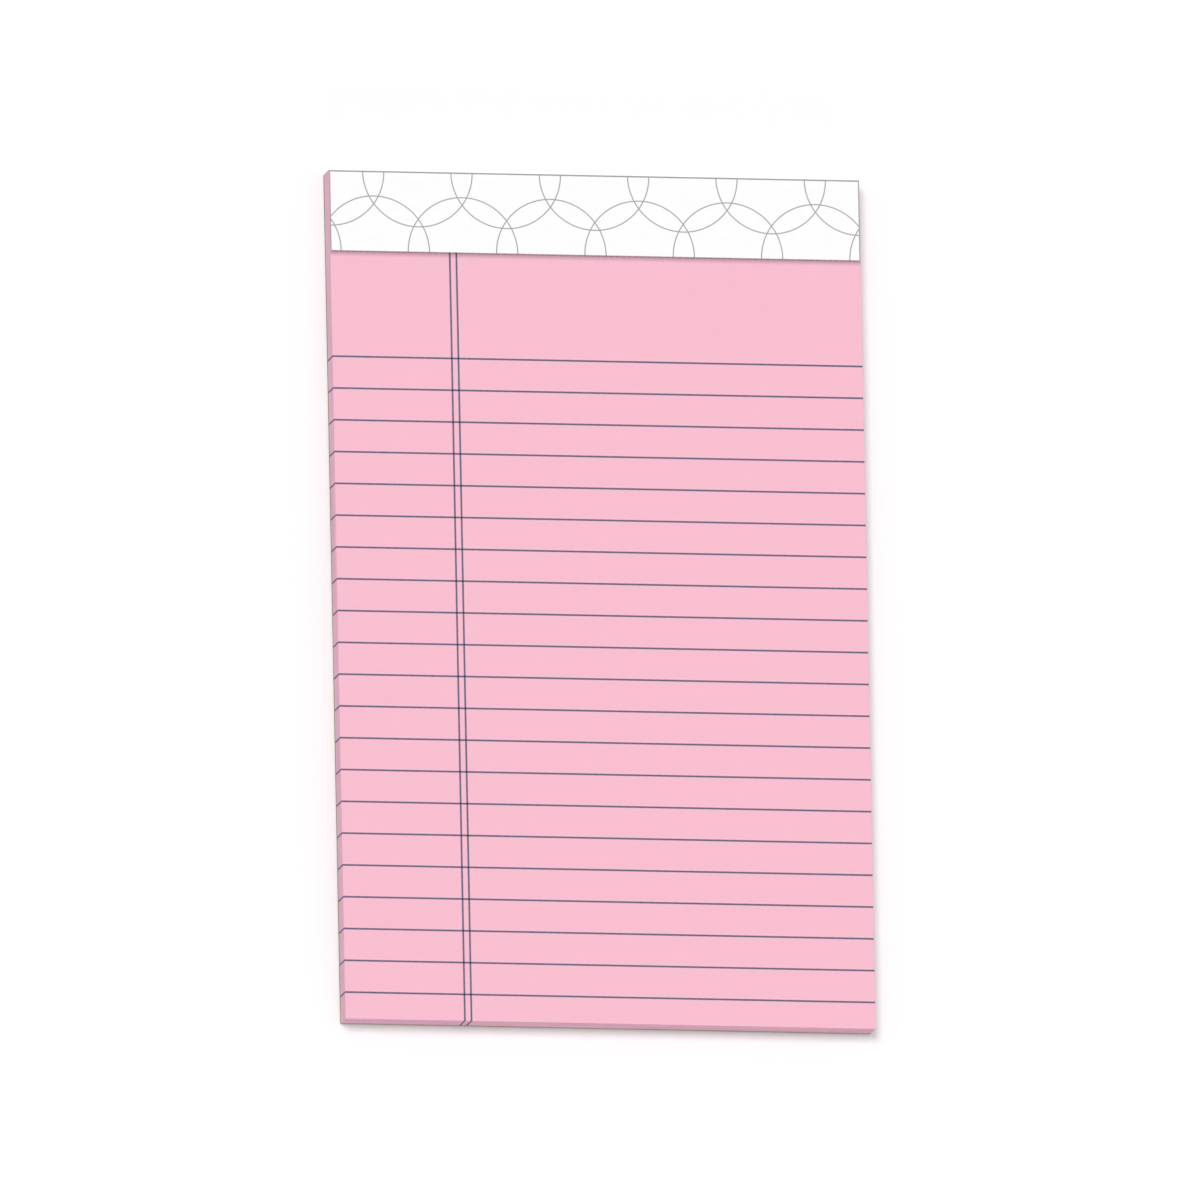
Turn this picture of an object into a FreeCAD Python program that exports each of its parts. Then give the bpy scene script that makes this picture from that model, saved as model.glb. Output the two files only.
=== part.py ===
"""Junior legal pad: fifty ruled leaves on a chipboard back, wire stitched through the head and
closed by a binding tape that folds over it.

Millimetres. +X runs across the pad, +Y towards the bound head, +Z up off the desk. The origin is
the centre of the footprint, on the desk. The tape is glued to the outside, so its back flap is
the lowest face and the board lies one tape thickness higher.
"""

import FreeCAD
import Part
import Sketcher
import os

SIZES = [
    ("page_width", 127.0, "leaf, board and tape, across the pad"),
    ("page_length", 203.2, "leaf and board, head to foot"),
    ("leaf_count", 50, "leaves in the stack"),
    ("leaf_pitch", 0.115, "one leaf with the air that it traps"),
    ("leaf_gap", 0.03, "the share of the pitch that is air at a loose edge"),
    ("gap_depth", 0.15, "how far the parted edges reach into the stack"),
    ("board_thick", 0.76, "chipboard back"),
    ("tape_thick", 0.18, "binding tape"),
    ("front_flap", 19.05, "tape over the first leaf, from the head"),
    ("back_flap", 19.05, "tape under the board, from the head"),
    ("bend_radius", 0.3, "inside of the tape's two folds"),
    ("slit_length", 1.1, "one cut of the tear-off line"),
    ("slit_width", 0.1, "the tear-off blade's cut"),
    ("slit_pitch", 1.5, "from cut to cut along the tear-off line"),
    ("slit_setback", 0.25, "from the tape's edge to the tear-off line"),
    ("wire_thick", 0.45, "flat stitching wire, in the plane of its bends"),
    ("wire_width", 0.65, "flat stitching wire, along the pad"),
    ("wire_bend", 0.6, "bend radius at the middle of the wire"),
    ("wire_clearance", 0.02, "room round the wire in paper and board"),
    ("crown_width", 12.7, "from leg to leg of a stitch"),
    ("clinch_length", 4.5, "leg's folded end, from the middle of the leg"),
    ("stitch_count", 3, "stitches along the head"),
    ("stitch_pitch", 44.0, "from stitch to stitch"),
    ("stitch_inset", 9.5, "from the head to the row of stitches"),
]

# Levels and edges that several pieces share.
HALF_WIDTH = "Sizes.page_width / 2"
HEAD = "(Sizes.page_length - Sizes.tape_thick) / 2"
FOOT = "-(Sizes.page_length + Sizes.tape_thick) / 2"
BOARD_BOTTOM = "Sizes.tape_thick"
LEAVES_BOTTOM = f"({BOARD_BOTTOM} + Sizes.board_thick)"
LEAVES_TOP = f"({LEAVES_BOTTOM} + Sizes.leaf_count * Sizes.leaf_pitch)"
TAPE_EDGE = f"({HEAD} - Sizes.front_flap)"
TEAR_LINE = f"({TAPE_EDGE} - Sizes.slit_setback)"
CROWN_LEVEL = f"({LEAVES_TOP} - Sizes.wire_thick / 2)"
CLINCH_LEVEL = f"({BOARD_BOTTOM} + Sizes.wire_thick / 2)"
FIRST_STITCH = "-(Sizes.stitch_count - 1) * Sizes.stitch_pitch / 2"
ORIGIN = (-1, 1)

doc = FreeCAD.newDocument("LegalPad")
sheet = doc.addObject("Spreadsheet::Sheet", "Sizes")


def fill_sheet():
    """Writes each driving dimension as a named cell with its meaning beside it."""
    for row, (alias, value, meaning) in enumerate(SIZES, start=1):
        sheet.set(f"A{row}", alias)
        sheet.set(f"B{row}", str(value))
        sheet.set(f"C{row}", meaning)
        sheet.setAlias(f"B{row}", alias)
    doc.recompute()


def number(expression):
    """What an expression of the sheet comes to."""
    return float(sheet.evalExpression(expression))


def new_body(label):
    body = doc.addObject("PartDesign::Body", label)
    body.Label = label
    return body


def datum(body, role):
    """One of a body's own origin planes or axes."""
    return next(feature for feature in body.Origin.OriginFeatures if feature.Role == role)


def new_sketch(body, name, plane, shift=("0", "0", "0")):
    """An empty sketch on an origin plane, moved by expressions along its own axes."""
    sketch = body.newObject("Sketcher::SketchObject", name)
    sketch.AttachmentSupport = [(datum(body, plane), "")]
    sketch.MapMode = "FlatFace"
    for axis, expression in zip("xyz", shift):
        sketch.setExpression(f"AttachmentOffset.Base.{axis}", expression)
    return sketch


def size_constraint(sketch, name, expression, kind, *places):
    """A named dimension of a sketch, bound to an expression of the sheet."""
    sketch.addConstraint(Sketcher.Constraint(kind, *places, number(expression)))
    sketch.renameConstraint(sketch.ConstraintCount - 1, name)
    sketch.setExpression(f"Constraints.{name}", expression)


def draw_outline(sketch, corners):
    """A closed outline with straight sides. Each corner is a pair of expressions."""
    points = [FreeCAD.Vector(number(x), number(y), 0) for x, y in corners]
    count = len(points)
    for i in range(count):
        sketch.addGeometry(Part.LineSegment(points[i], points[(i + 1) % count]), False)
    for i, (x, y) in enumerate(corners):
        sketch.addConstraint(Sketcher.Constraint("Coincident", i, 2, (i + 1) % count, 1))
        size_constraint(sketch, f"corner_{i}_x", x, "DistanceX", *ORIGIN, i, 1)
        size_constraint(sketch, f"corner_{i}_y", y, "DistanceY", *ORIGIN, i, 1)


def pad(body, name, sketch, length, both_ways=False):
    feature = body.newObject("PartDesign::Pad", name)
    feature.Profile = sketch
    feature.SideType = "Symmetric" if both_ways else "One side"
    feature.setExpression("Length", length)
    return feature


def pocket(body, name, sketch, length):
    """A cut that goes up from its sketch."""
    feature = body.newObject("PartDesign::Pocket", name)
    feature.Profile = sketch
    feature.Reversed = True
    feature.setExpression("Length", length)
    return feature


def row_of(body, name, feature, axis, pitch, count):
    """Repeats a feature along one of the body's axes, and makes the row the body's result."""
    row = body.newObject("PartDesign::LinearPattern", name)
    row.Originals = [feature]
    row.Direction = (datum(body, axis), [""])
    row.Mode = "Spacing"
    row.setExpression("Offset", pitch)
    row.setExpression("Occurrences", count)
    body.Tip = row
    return row


def cross_edge(feature, y, z):
    """The name of the feature's edge that runs across the pad at this Y and Z."""
    middle = FreeCAD.Vector(0, number(y), number(z))
    names = [
        f"Edge{i}"
        for i, edge in enumerate(feature.Shape.Edges, start=1)
        if edge.CenterOfMass.isEqual(middle, 1e-6)
    ]
    return names[0]


def fillet(body, name, base, places, radius):
    """Rounds the edges that run across the pad at these (Y, Z) places."""
    doc.recompute()
    feature = body.newObject("PartDesign::Fillet", name)
    feature.Base = (base, [cross_edge(base, y, z) for y, z in places])
    feature.setExpression("Radius", radius)
    body.Tip = feature
    return feature


def draw_leaf(sketch):
    """The rectangle that leaves and board share."""
    draw_outline(
        sketch,
        [
            (f"-{HALF_WIDTH}", FOOT),
            (HALF_WIDTH, FOOT),
            (HALF_WIDTH, HEAD),
            (f"-{HALF_WIDTH}", HEAD),
        ],
    )


def arc_ends(sketch, line, arc):
    """Which of an arc's two ends meets the end of a line, and which is the other."""
    meeting = sketch.getPoint(line, 2)
    return (1, 2) if sketch.getPoint(arc, 1).isEqual(meeting, 1e-6) else (2, 1)


def stitch_path(body):
    """The middle line of the first stitch: clinch, leg, crown, leg, clinch.

    Five straight runs, joined by four quarter circles. The crown lies flush with the top of the
    leaves, and the clinches flush with the underside of the board.
    """
    half_crown = "Sizes.crown_width / 2"
    shift = (FIRST_STITCH, "0", f"Sizes.stitch_inset - {HEAD}")
    sketch = new_sketch(body, "stitch_path", "XZ_Plane", shift)

    side = number(half_crown)
    high = number(CROWN_LEVEL)
    low = number(CLINCH_LEVEL)
    bend = number("Sizes.wire_bend")
    inner = side - number("Sizes.clinch_length")
    diagonal = bend * 0.5**0.5
    runs = [
        [(-inner, low), (bend - side, low)],
        [(-side, low + bend), (-side, high - bend)],
        [(bend - side, high), (side - bend, high)],
        [(side, high - bend), (side, low + bend)],
        [(side - bend, low), (inner, low)],
    ]
    bend_middles = [
        (bend - side - diagonal, low + bend - diagonal),
        (bend - side - diagonal, high - bend + diagonal),
        (side - bend + diagonal, high - bend + diagonal),
        (side - bend + diagonal, low + bend - diagonal),
    ]
    for start, end in runs:
        ends = [FreeCAD.Vector(*place, 0) for place in (start, end)]
        sketch.addGeometry(Part.LineSegment(*ends), False)
    for (_, before), middle, (after, _) in zip(runs, bend_middles, runs[1:]):
        ends = [FreeCAD.Vector(*place, 0) for place in (before, middle, after)]
        sketch.addGeometry(Part.Arc(*ends), False)

    for line, kind in enumerate(["Horizontal", "Vertical"] * 2 + ["Horizontal"]):
        sketch.addConstraint(Sketcher.Constraint(kind, line))
    for i in range(len(bend_middles)):
        arc = len(runs) + i
        arc_start, arc_end = arc_ends(sketch, i, arc)
        sketch.addConstraint(Sketcher.Constraint("Tangent", i, 2, arc, arc_start))
        sketch.addConstraint(Sketcher.Constraint("Tangent", arc, arc_end, i + 1, 1))
        size_constraint(sketch, f"bend_{i}", "Sizes.wire_bend", "Radius", arc)
    size_constraint(sketch, "crown_level", CROWN_LEVEL, "DistanceY", *ORIGIN, 2, 1)
    size_constraint(sketch, "left_leg", f"-{half_crown}", "DistanceX", *ORIGIN, 1, 1)
    size_constraint(sketch, "right_leg", half_crown, "DistanceX", *ORIGIN, 3, 1)
    for name, line, end, sign in (("left", 0, 1, "-"), ("right", 4, 2, "")):
        reach = f"{sign}({half_crown} - Sizes.clinch_length)"
        size_constraint(sketch, f"{name}_clinch_end", reach, "DistanceX", *ORIGIN, line, end)
        size_constraint(
            sketch, f"{name}_clinch_level", CLINCH_LEVEL, "DistanceY", *ORIGIN, line, end
        )
    return sketch


def stitch_pipe(body, kind, name, clearance="0"):
    """Wire, or the channel for it, swept along the stitch path and repeated along the head."""
    path = stitch_path(body)
    path_start = f"{FIRST_STITCH} - Sizes.crown_width / 2 + Sizes.clinch_length"
    shift = (f"{HEAD} - Sizes.stitch_inset", CLINCH_LEVEL, path_start)
    section = new_sketch(body, "wire_section", "YZ_Plane", shift)
    side = f"(Sizes.wire_width / 2 + {clearance})"
    face = f"(Sizes.wire_thick / 2 + {clearance})"
    draw_outline(
        section,
        [(f"-{side}", f"-{face}"), (side, f"-{face}"), (side, face), (f"-{side}", face)],
    )
    doc.recompute()
    pipe = body.newObject(f"PartDesign::{kind}", name)
    pipe.Profile = section
    pipe.Spine = (path, [f"Edge{i}" for i in range(1, len(path.Shape.Edges) + 1)])
    body.Tip = pipe
    return row_of(body, "stitch_row", pipe, "X_Axis", "Sizes.stitch_pitch", "Sizes.stitch_count")


def make_backing_board():
    """Chipboard, rounded by the fold at its head, with bites for the legs and clinches."""
    body = new_body("backing_board")
    outline = new_sketch(body, "board_outline", "XY_Plane", ("0", "0", BOARD_BOTTOM))
    draw_leaf(outline)
    board = pad(body, "board", outline, "Sizes.board_thick")
    fillet(body, "folded_edge", board, [(HEAD, BOARD_BOTTOM)], "Sizes.bend_radius")
    stitch_pipe(body, "SubtractivePipe", "wire_bite", "Sizes.wire_clearance")
    return body


def make_page_block():
    """The leaves as one stack: edges that part on three sides, tear-off line, wire channels."""
    body = new_body("page_block")
    outline = new_sketch(body, "leaf_outline", "XY_Plane", ("0", "0", LEAVES_BOTTOM))
    draw_leaf(outline)
    stack = pad(body, "stack", outline, "Sizes.leaf_count * Sizes.leaf_pitch")
    fillet(body, "folded_edge", stack, [(HEAD, LEAVES_TOP)], "Sizes.bend_radius")

    # The tape presses the leaves together, so their edges part only from its edge to the foot.
    gap_level = f"{LEAVES_BOTTOM} + Sizes.leaf_pitch - Sizes.leaf_gap"
    gap_outline = new_sketch(body, "gap_outline", "XY_Plane", ("0", "0", gap_level))
    outside = f"({HALF_WIDTH} + Sizes.gap_depth)"
    inside = f"({HALF_WIDTH} - Sizes.gap_depth)"
    draw_outline(
        gap_outline,
        [
            (f"-{outside}", f"{FOOT} - Sizes.gap_depth"),
            (outside, f"{FOOT} - Sizes.gap_depth"),
            (outside, TEAR_LINE),
            (inside, TEAR_LINE),
            (inside, f"{FOOT} + Sizes.gap_depth"),
            (f"-{inside}", f"{FOOT} + Sizes.gap_depth"),
            (f"-{inside}", TEAR_LINE),
            (f"-{outside}", TEAR_LINE),
        ],
    )
    gap = pocket(body, "leaf_gap", gap_outline, "Sizes.leaf_gap")
    row_of(body, "leaf_gaps", gap, "Z_Axis", "Sizes.leaf_pitch", "Sizes.leaf_count - 1")

    slit_count = "floor(Sizes.page_width / Sizes.slit_pitch)"
    first_slit = f"(-({slit_count} - 1) * Sizes.slit_pitch / 2)"
    slit_outline = new_sketch(body, "slit_outline", "XY_Plane", ("0", "0", LEAVES_BOTTOM))
    start = f"{first_slit} - Sizes.slit_length / 2"
    end = f"{first_slit} + Sizes.slit_length / 2"
    near = f"{TEAR_LINE} - Sizes.slit_width / 2"
    far = f"{TEAR_LINE} + Sizes.slit_width / 2"
    draw_outline(slit_outline, [(start, near), (end, near), (end, far), (start, far)])
    slit = pocket(body, "tear_slit", slit_outline, "Sizes.leaf_count * Sizes.leaf_pitch")
    row_of(body, "tear_line", slit, "X_Axis", "Sizes.slit_pitch", slit_count)

    stitch_pipe(body, "SubtractivePipe", "wire_channel", "Sizes.wire_clearance")
    return body


def make_binding_tape():
    """One strip, folded over the head: front flap, head face and back flap."""
    body = new_body("binding_tape")
    profile = new_sketch(body, "tape_profile", "YZ_Plane")
    outer_head = f"{HEAD} + Sizes.tape_thick"
    outer_top = f"{LEAVES_TOP} + Sizes.tape_thick"
    back_edge = f"{HEAD} - Sizes.back_flap"
    draw_outline(
        profile,
        [
            (TAPE_EDGE, LEAVES_TOP),
            (HEAD, LEAVES_TOP),
            (HEAD, BOARD_BOTTOM),
            (back_edge, BOARD_BOTTOM),
            (back_edge, "0"),
            (outer_head, "0"),
            (outer_head, outer_top),
            (TAPE_EDGE, outer_top),
        ],
    )
    strip = pad(body, "strip", profile, "Sizes.page_width", both_ways=True)
    inner_folds = [(HEAD, LEAVES_TOP), (HEAD, BOARD_BOTTOM)]
    inner = fillet(body, "inner_folds", strip, inner_folds, "Sizes.bend_radius")
    outer_folds = [(outer_head, outer_top), (outer_head, "0")]
    outer_radius = "Sizes.bend_radius + Sizes.tape_thick"
    fillet(body, "outer_folds", inner, outer_folds, outer_radius)
    return body


def make_wire_stitches():
    """Steel wire stitches, each bent from one length: crown, two legs and two clinched ends."""
    body = new_body("wire_stitches")
    body.AllowCompound = True
    stitch_pipe(body, "AdditivePipe", "stitch")
    return body


def export(bodies):
    """Checks every object, then writes each piece to a file named by its label."""
    doc.recompute()
    failed = [o.Name for o in doc.Objects if {"Invalid", "Error"} & set(o.State)]
    bad = [b.Label for b in bodies if b.Shape.isNull() or not b.Shape.isValid()]
    if failed or bad:
        raise RuntimeError(f"failed objects {failed}, bad shapes {bad}")
    os.makedirs("parts", exist_ok=True)
    for body in bodies:
        body.Shape.exportStep(f"parts/{body.Label}.step")
        print(body.Label, len(body.Shape.Solids), "solid(s)", round(body.Shape.Volume, 3), "mm3")


fill_sheet()
export([make_backing_board(), make_page_block(), make_binding_tape(), make_wire_stitches()])
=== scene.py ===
# %% [markdown]
# # A small legal pad
#
# The pad is fifty ruled pink leaves on a chipboard back. Wire stitches go through the head, and a
# printed white tape folds over them. The solid model already gives every piece its size and place,
# so this script only dresses it. The board and the wire keep their solids and get a material. The
# leaves and the tape get finer surfaces that lie where their solids are.

import bpy
import numpy as np
from mathutils import Matrix, Vector


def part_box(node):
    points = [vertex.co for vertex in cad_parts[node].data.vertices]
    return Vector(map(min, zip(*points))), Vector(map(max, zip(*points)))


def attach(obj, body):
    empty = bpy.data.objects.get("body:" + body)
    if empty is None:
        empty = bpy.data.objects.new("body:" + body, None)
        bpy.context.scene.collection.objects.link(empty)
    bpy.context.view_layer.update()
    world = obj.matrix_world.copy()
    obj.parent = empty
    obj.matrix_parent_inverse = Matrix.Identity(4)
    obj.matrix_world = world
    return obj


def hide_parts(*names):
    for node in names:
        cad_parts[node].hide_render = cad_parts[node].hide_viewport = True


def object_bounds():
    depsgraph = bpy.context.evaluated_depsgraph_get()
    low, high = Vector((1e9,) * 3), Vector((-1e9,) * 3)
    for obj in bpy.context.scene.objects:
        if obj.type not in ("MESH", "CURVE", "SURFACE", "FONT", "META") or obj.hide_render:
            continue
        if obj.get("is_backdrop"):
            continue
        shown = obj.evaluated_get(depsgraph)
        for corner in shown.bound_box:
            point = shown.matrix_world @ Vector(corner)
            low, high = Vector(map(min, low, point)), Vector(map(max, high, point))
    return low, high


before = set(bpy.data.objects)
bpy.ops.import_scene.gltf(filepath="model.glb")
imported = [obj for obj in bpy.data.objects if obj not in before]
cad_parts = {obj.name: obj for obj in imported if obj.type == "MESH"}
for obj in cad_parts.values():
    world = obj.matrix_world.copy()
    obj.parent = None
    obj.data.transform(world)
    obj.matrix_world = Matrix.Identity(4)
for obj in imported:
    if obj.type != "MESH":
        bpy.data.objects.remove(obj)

MM = 0.001
solid_box = [list(corner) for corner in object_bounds()]
print("Nodes:", sorted(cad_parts))
print("Solid box:", solid_box)

# %% [markdown]
# ## Levels and edges
#
# Each level and edge is read from the solids' boxes, so a surface made here can't drift from the
# piece that it covers. What the boxes can't tell, such as how far apart the rules are printed, is
# a real size in millimetres, given where it is first needed.

# %% Levels and edges, from the solids
block_low, block_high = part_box("page_block")
tape_low, tape_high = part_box("binding_tape")

HALF_WIDTH = block_high.x
FOOT, HEAD = block_low.y, block_high.y
LEAVES_BOTTOM, LEAVES_TOP = block_low.z, block_high.z
TAPE_EDGE = tape_low.y
TAPE_THICK = tape_high.y - HEAD
# The back flap lies under the board, so the board starts one thickness of tape up.
BOARD_BOTTOM = TAPE_THICK
print(f"Leaves {2 * HALF_WIDTH / MM:.1f} by {(HEAD - FOOT) / MM:.1f} mm, "
      f"{(LEAVES_TOP - LEAVES_BOTTOM) / MM:.2f} mm high, tape edge at {TAPE_EDGE / MM:.2f} mm")

# %% [markdown]
# ## Helpers for surfaces
#
# A surface here is a grid of points worked out in one go. The faces of a grid depend only on how
# many rows and columns it has, so one function numbers them for every piece. Another turns the
# arrays into a mesh. Faces are shaded smooth, and an edge sharper than thirty degrees stays crisp.
#
# Paper is never quite even, so many shapes below need a little chance that is smooth and comes out
# the same each time. A sum of a few sine waves with seeded lengths gives that.

# %% Grid faces and mesh objects
SHARP_EDGE = np.radians(30)


def grid_faces(numbers):
    """The quads of a grid, from a 2-D array with each point's number, wound rows first.

    Quad (i, j) is points (i, j), (i, j+1), (i+1, j+1) and (i+1, j).
    """
    corners = numbers[:-1, :-1], numbers[:-1, 1:], numbers[1:, 1:], numbers[1:, :-1]
    return np.stack(corners, axis=-1).reshape(-1, 4)


def mesh_object(name, points, faces):
    """A smooth shaded object at the origin from an array of points and lists of faces."""
    mesh = bpy.data.meshes.new(name)
    mesh.from_pydata(points.tolist(), [], faces)
    mesh.validate()
    mesh.set_sharp_from_angle(angle=SHARP_EDGE)
    piece = bpy.data.objects.new(name, mesh)
    bpy.context.scene.collection.objects.link(piece)
    print(f"{name}: {len(mesh.vertices)} points, {len(mesh.polygons)} faces")
    return piece


print("A grid of 3 by 4 points has", len(grid_faces(np.arange(12).reshape(3, 4))), "quads")

# %% Which way the faces point
def enclosed_volume(piece):
    """The volume inside a closed mesh in cubic millimetres, positive if its faces point outwards.

    It is a sixth of the sum of a . (b x c) over all triangles with the corners a, b and c.
    """
    mesh = piece.data
    mesh.calc_loop_triangles()
    corners = np.empty(len(mesh.loop_triangles) * 3, int)
    mesh.loop_triangles.foreach_get("vertices", corners)
    places = np.empty(len(mesh.vertices) * 3)
    mesh.vertices.foreach_get("co", places)
    a, b, c = (places / MM).reshape(-1, 3)[corners.reshape(-1, 3)].transpose(1, 0, 2)
    return float(np.einsum("ij,ij->", a, np.cross(b, c))) / 6


for node in ("page_block", "binding_tape"):
    print("The solid", node, "encloses", round(enclosed_volume(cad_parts[node]), 1), "mm3")

# %% Values for a face or for its corners
def corner_points(mesh):
    """The number of the point at each face corner, in the order in which a map keeps them."""
    numbers = np.empty(len(mesh.loops), int)
    mesh.loops.foreach_get("vertex_index", numbers)
    return numbers


def add_map(mesh, name, places):
    """Adds a UV map, from an array with one place for each face corner."""
    mesh.uv_layers.new(name=name).uv.foreach_set("vector", places.astype(np.float32).ravel())


def add_face_value(mesh, name, values):
    """Keeps a number for each face on the mesh, for a material to read by name."""
    layer = mesh.attributes.new(name, "FLOAT", "FACE")
    layer.data.foreach_set("value", values.astype(np.float32))


board_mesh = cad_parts["backing_board"].data
print("The board's", len(board_mesh.polygons), "faces have", len(corner_points(board_mesh)), "corners")

# %% Smooth steps and smooth chance
def ease(values):
    """Goes from 0 to 1 with a soft start and end: 3t^2 - 2t^3, and flat outside."""
    t = np.clip(values, 0, 1)
    return t * t * (3 - 2 * t)


def wander(places, seed, waves=5, longest=1.0):
    """A smooth random curve, about -1 to 1: a sum of sines with seeded lengths and phases.

    Each wave is half as strong and about half as long as the one before it. A seed array gives one
    curve for each of its numbers, along a new first axis.
    """
    curves = []
    for number in np.atleast_1d(seed):
        chance = np.random.default_rng(int(number))
        phase = chance.uniform(0, 2 * np.pi, waves)
        length = longest * 0.5 ** np.arange(waves) * chance.uniform(0.8, 1.25, waves)
        strength = 0.5 ** np.arange(waves)
        curve = np.sin(places[..., None] * 2 * np.pi / length + phase) @ strength
        curves.append(curve / strength.sum())
    return np.array(curves) if np.ndim(seed) else curves[0]


print("Ease at 0, 1/4, 1/2 and 1:", ease(np.array([0, 0.25, 0.5, 1])))
print("A curve that wanders:", wander(np.linspace(0, 1, 5), seed=1).round(2))

# %% [markdown]
# ## The leaves
#
# A trimmed stack isn't a smooth block. Its edges are fifty thin lines that part a little where
# nothing presses them, and a leaf here and there stands back by a few hundredths of a millimetre.
# Under the tape the leaves are clamped tight, and away from it the stack swells with air.
#
# One could model a single leaf and repeat it with an Array modifier, but then every edge would be
# the same. Instead one closed skin goes round the stack: a profile with a notch between each two
# leaves, carried round the outline. How far a leaf stands back is a function of the leaf and of
# the way along the outline, so no two edges are alike. The first leaf's top closes the skin.

# %% The tear-off slits
SLIT_PITCH = 1.5 * MM
SLIT_LENGTH = 1.1 * MM
SLIT_WIDTH = 0.1 * MM
SLIT_DEPTH = 0.3 * MM
SLIT_SETBACK = 0.25 * MM

TEAR_LINE = TAPE_EDGE - SLIT_SETBACK
slit_count = int(2 * HALF_WIDTH / SLIT_PITCH)
slit_middles = (np.arange(slit_count) - (slit_count - 1) / 2) * SLIT_PITCH
first_slit, last_slit = slit_middles[[0, -1]] / MM
print(f"{slit_count} slits, from {first_slit:.2f} to {last_slit:.2f} mm")

# %% Rows and columns of the first leaf
SLITS_PER_CELL = 3
CLEAR_OF_SLITS = 1 * MM
OPEN_ROWS = 56
TAPE_ROWS = 8

cell_edges = slit_middles[SLITS_PER_CELL::SLITS_PER_CELL] - SLIT_PITCH / 2
columns = np.concatenate([[-HALF_WIDTH], cell_edges, [HALF_WIDTH]])
open_rows = np.linspace(FOOT, TEAR_LINE - CLEAR_OF_SLITS, OPEN_ROWS)
slit_rows = TEAR_LINE + np.array([-0.5, 0, 0.5]) * SLIT_WIDTH
tape_rows = np.linspace(TEAR_LINE + CLEAR_OF_SLITS, HEAD, TAPE_ROWS)
rows = np.concatenate([open_rows, slit_rows, tape_rows])
print("First leaf:", len(rows), "rows,", len(columns), "columns")

# %% How high the stack stands
SWELL = 0.12 * MM
SWELL_REACH = 22 * MM
WAVE_SHARE = 1 / 6
ACROSS_SEED, ACROSS_WAVE = 11, 160 * MM
DOWN_SEED, DOWN_WAVE = 12, 210 * MM


def top_height(x, y):
    """Height of the first leaf: that of the clamped stack, plus a swell away from the tape.

    The swell eases in over SWELL_REACH from the tear-off line. A slow wave across the page and one
    down it each vary the swell by up to WAVE_SHARE.
    """
    away = ease((TEAR_LINE - y) / SWELL_REACH)
    across = wander(x, ACROSS_SEED, waves=3, longest=ACROSS_WAVE)
    down = wander(y, DOWN_SEED, waves=3, longest=DOWN_WAVE)
    return LEAVES_TOP + SWELL * away * (1 + WAVE_SHARE * (across + down))


print("Page at mid-length:", round(float(top_height(np.array(0), np.array(0))) / MM, 3), "mm high")

# %% The outline
def outline_path():
    """Points round the leaf, foot edge first, then right, head and left, with no point twice."""
    foot = np.stack([columns[:-1], np.full(len(columns) - 1, FOOT)], axis=1)
    right = np.stack([np.full(len(rows) - 1, HALF_WIDTH), rows[:-1]], axis=1)
    head = np.stack([columns[:0:-1], np.full(len(columns) - 1, HEAD)], axis=1)
    left = np.stack([np.full(len(rows) - 1, -HALF_WIDTH), rows[:0:-1]], axis=1)
    return np.concatenate([foot, right, head, left])


path = outline_path()
steps = np.linalg.norm(np.roll(path, -1, axis=0) - path, axis=1)
along = np.concatenate([[0], np.cumsum(steps)])
print("Outline:", len(path), "points,", round(along[-1] / MM, 1), "mm")

# %% The profile up the stack
LEAF_COUNT = 50
PAPER_SHARE = 0.78

# Each leaf has three points: its lower edge, its upper edge, and the bottom of the notch above it,
# half-way to the next leaf. Nothing lies on the first leaf, so its notch is left out.
leaf_number = np.repeat(np.arange(LEAF_COUNT), 3)[:-1]
part = np.tile([0, PAPER_SHARE, (1 + PAPER_SHARE) / 2], LEAF_COUNT)[:-1]
level = (leaf_number + part) / LEAF_COUNT
level[-1] = 1
is_notch = (np.arange(len(level)) % 3 == 2).astype(float)
print("Profile:", len(level), "points, of which", int(is_notch.sum()), "are notches")

# %% How far each leaf stands back
STAND_BACK = 0.05 * MM
NOTCH_DEPTH = 0.11 * MM
LEAF_WAVE = 300 * MM
NOTCH_WAVE = 80 * MM
CLAMPED_SHARE = 0.25
CLAMP_REACH = 4 * MM
LEAF_SEEDS = 100 + np.arange(LEAF_COUNT)
NOTCH_SEEDS = 200 + np.arange(LEAF_COUNT)


def setback():
    """How far the skin lies inside the outline, for each profile point and outline point.

    A leaf stands back by STAND_BACK times a slow seeded curve along the outline. A notch is deeper
    by NOTCH_DEPTH times a quicker one. Both shrink to CLAMPED_SHARE under the tape, and the first
    leaf doesn't stand back at all.
    """
    leaf = (1 + wander(along[:-1], LEAF_SEEDS, longest=LEAF_WAVE)) / 2
    leaf[-1] = 0
    notch = 1 + wander(along[:-1], NOTCH_SEEDS, longest=NOTCH_WAVE) / 2
    loose = CLAMPED_SHARE + (1 - CLAMPED_SHARE) * ease((TEAR_LINE - path[:, 1]) / CLAMP_REACH)
    back = STAND_BACK * leaf[leaf_number] + NOTCH_DEPTH * notch[leaf_number] * is_notch[:, None]
    return back * loose


back = setback()
least, middling, most = np.percentile(back, [0, 50, 100]) / MM
print(f"The skin lies back by {least:.3f} to {most:.3f} mm, half of it by under {middling:.3f} mm")

# %% The skin's rings
FOLD_RADIUS = 0.3 * MM


def fold_setback(z):
    """How far the head edge draws back under the tape's fold: a quarter circle at the top."""
    rise = np.clip(z - (LEAVES_TOP - FOLD_RADIUS), 0, FOLD_RADIUS)
    return FOLD_RADIUS - np.sqrt(FOLD_RADIUS**2 - rise**2)


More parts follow.
